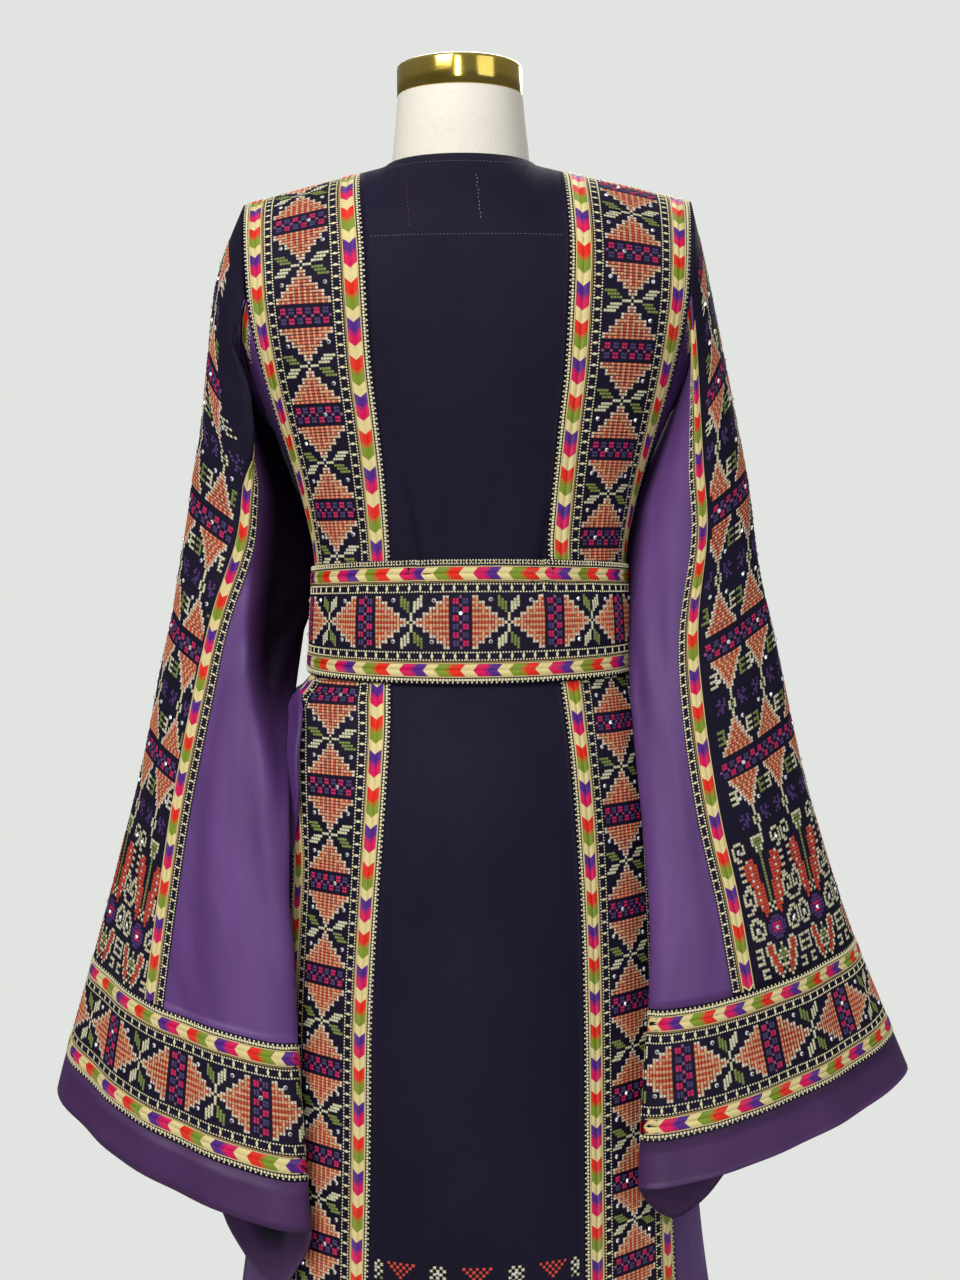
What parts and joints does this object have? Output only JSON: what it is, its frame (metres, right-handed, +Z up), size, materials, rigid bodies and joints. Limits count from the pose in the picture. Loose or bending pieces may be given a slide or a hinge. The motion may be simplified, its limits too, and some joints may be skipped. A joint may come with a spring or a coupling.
{
  "type": "palestinian thobe dress on a limbless dress form",
  "caption": "Floor-length embroidered thobe with bell sleeves, purple side panels and a wide belt, standing on a limbless linen dress form with a gold neck cap.",
  "frame": {"origin": "on the floor at the centre of the underside of the form's round base", "axes": "+Z up; the back of the dress faces -Y, the V neck and the belt's overlap face +Y; left and right are those of a viewer who looks along +Y at the back of the dress"},
  "size_m": [0.7402, 0.47, 1.5477],
  "materials": {
    "navy_crepe": "matte crepe",
    "embroidered_navy": "navy crepe covered with cross stitch and satin stitch",
    "purple_satin": "soft satin sheen",
    "linen": "matte woven linen",
    "gold": "polished gold plate",
    "dark_steel": "satin black"
  },
  "bodies": {
    "root": {"back_centre_panel": "navy_crepe", "front_centre_panel": "navy_crepe", "back_band_left": "embroidered_navy", "back_band_right": "embroidered_navy", "front_band_left": "embroidered_navy", "front_band_right": "embroidered_navy", "side_panel_left": "purple_satin", "side_panel_right": "purple_satin", "sleeve_overarm_left": "embroidered_navy", "sleeve_overarm_right": "embroidered_navy", "sleeve_gore_left": "purple_satin", "sleeve_gore_right": "purple_satin", "sleeve_trim_back_left": "embroidered_navy", "sleeve_trim_back_right": "embroidered_navy", "sleeve_trim_front_left": "embroidered_navy", "sleeve_trim_front_right": "embroidered_navy", "sleeve_cuff_band_left": "embroidered_navy", "sleeve_cuff_band_right": "embroidered_navy", "sleeve_cuff_hem_left": "purple_satin", "sleeve_cuff_hem_right": "purple_satin", "belt": "embroidered_navy", "form_torso": "linen", "form_neck_cap": "gold", "form_pole": "dark_steel", "form_base": "dark_steel"}
  },
  "joints": []
}
